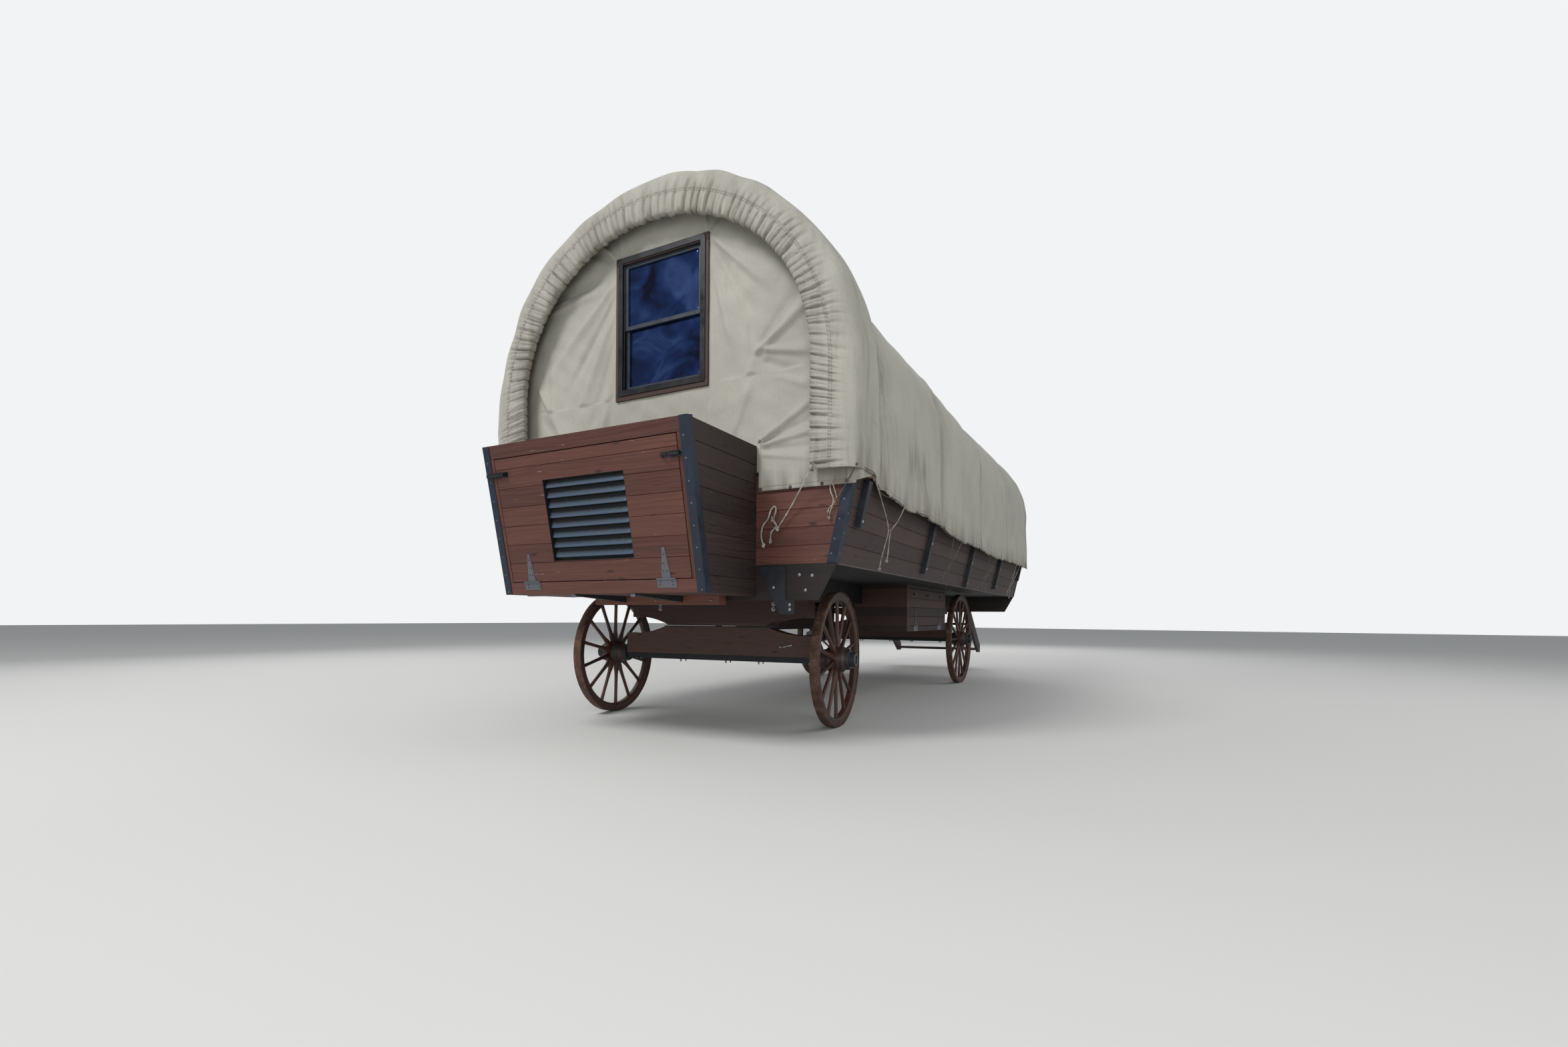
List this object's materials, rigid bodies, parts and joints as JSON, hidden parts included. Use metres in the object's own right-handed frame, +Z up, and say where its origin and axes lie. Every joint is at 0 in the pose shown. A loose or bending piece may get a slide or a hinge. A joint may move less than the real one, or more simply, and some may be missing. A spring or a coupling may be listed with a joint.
{
  "type": "covered wagon cabin",
  "caption": "Covered wagon with flared plank walls, a canvas cover on bows, a nose box, a rear door and spoked wheels, lived in as a camping cabin and pulled by a drawbar.",
  "frame": {"origin": "on the ground, at the middle of the overall length and width", "axes": "+X to the wagon's side that is on the right of someone who looks from the nose box to the rear door, +Y towards the rear door, +Z up"},
  "size_m": [3.47, 9.3608, 4.262],
  "materials": {
    "floor_wood": "sawn",
    "wall_wood": "weathered stain",
    "stained_wood": "stained",
    "bow_wood": "planed",
    "dark_wood": "dark stain",
    "beam_wood": "weathered",
    "locker_wood": "stained",
    "black_steel": "satin",
    "canvas": "matt",
    "trim_wood": "stained",
    "window_black": "satin",
    "glass": "clear",
    "louvre_grey": "satin",
    "frame_steel": "satin",
    "hinge_steel": "satin",
    "plate_steel": "worn",
    "tyre_steel": "rusted",
    "wheel_wood": "stained",
    "hub_iron": "dark"
  },
  "bodies": {
    "wagon": {"floor_deck": "floor_wood", "side_walls": "wall_wood", "end_walls": "stained_wood", "end_sills": "floor_wood", "end_panels": "floor_wood", "bows": "bow_wood", "nose_box_sides": "dark_wood", "nose_box_boards": "stained_wood", "nose_box_face": "stained_wood", "end_headers": "dark_wood", "nose_ledger": "dark_wood", "bolsters": "beam_wood", "rear_axle_board": "beam_wood", "lockers": "locker_wood", "door_frame": "stained_wood", "rear_steps": "dark_wood", "corner_irons": "black_steel", "stakes": "black_steel", "canvas_cover": "canvas", "canvas_end_sheets": "canvas", "window_trim": "trim_wood", "window_sash": "window_black", "window_glass": "glass", "nose_box_irons": "black_steel", "header_gusset": "black_steel", "chassis_frame": "frame_steel", "rear_axle_beam": "frame_steel", "nose_box_arms": "black_steel", "hinge_plates": "hinge_steel"},
    "front_gear": {"front_axle_board": "beam_wood", "front_turn_plate": "plate_steel", "front_axle_beam": "frame_steel"},
    "front_right_wheel": {"tyre_front_right": "tyre_steel", "wheel_front_right": "wheel_wood", "hub_front_right": "hub_iron"},
    "front_left_wheel": {"tyre_front_left": "tyre_steel", "wheel_front_left": "wheel_wood", "hub_front_left": "hub_iron"},
    "rear_right_wheel": {"tyre_rear_right": "tyre_steel", "wheel_rear_right": "wheel_wood", "hub_rear_right": "hub_iron"},
    "rear_left_wheel": {"tyre_rear_left": "tyre_steel", "wheel_rear_left": "wheel_wood", "hub_rear_left": "hub_iron"},
    "nose_door": {"nose_door": "stained_wood", "nose_louvre": "louvre_grey", "nose_door_straps": "hinge_steel"},
    "right_locker_door": {"locker_door_right": "locker_wood", "locker_straps_right": "black_steel"},
    "left_locker_door": {"locker_door_left": "locker_wood", "locker_straps_left": "black_steel"},
    "cabin_door": {"cabin_door": "stained_wood", "cabin_door_straps": "hinge_steel"}
  },
  "joints": [
    {"name": "steering", "type": "hinge", "parent": "wagon", "child": "front_gear", "pos_m": [0, -2.93655, 0.81], "axis": [0, 0, 1], "range_deg": [-30.3, 19.7]},
    {"name": "front_right_spin", "type": "hinge", "parent": "front_gear", "child": "front_right_wheel", "pos_m": [1.10525, -2.83402, 0.56], "axis": [0.9957, 0.0924, 0], "continuous": true},
    {"name": "front_left_spin", "type": "hinge", "parent": "front_gear", "child": "front_left_wheel", "pos_m": [-1.10525, -3.03908, 0.56], "axis": [0.9957, 0.0924, 0], "continuous": true},
    {"name": "rear_right_spin", "type": "hinge", "parent": "wagon", "child": "rear_right_wheel", "pos_m": [1.11, 1.55845, 0.622], "axis": [1, 0, 0], "continuous": true},
    {"name": "rear_left_spin", "type": "hinge", "parent": "wagon", "child": "rear_left_wheel", "pos_m": [-1.11, 1.55845, 0.622], "axis": [1, 0, 0], "continuous": true},
    {"name": "nose_door_hinge", "type": "hinge", "parent": "wagon", "child": "nose_door", "pos_m": [0, -4.48193, 1.14691], "axis": [1, 0, 0], "range_deg": [0, 165]},
    {"name": "right_locker_door_hinge", "type": "hinge", "parent": "wagon", "child": "right_locker_door", "pos_m": [1.106, -0.02255, 0.819], "axis": [0, 1, 0], "range_deg": [0, 165]},
    {"name": "left_locker_door_hinge", "type": "hinge", "parent": "wagon", "child": "left_locker_door", "pos_m": [-1.106, -0.02255, 0.819], "axis": [0, -1, 0], "range_deg": [0, 165]},
    {"name": "cabin_door_hinge", "type": "hinge", "parent": "wagon", "child": "cabin_door", "pos_m": [-0.393, 3.68675, 2.33], "axis": [0, 0, 1], "range_deg": [0, 110]}
  ]
}
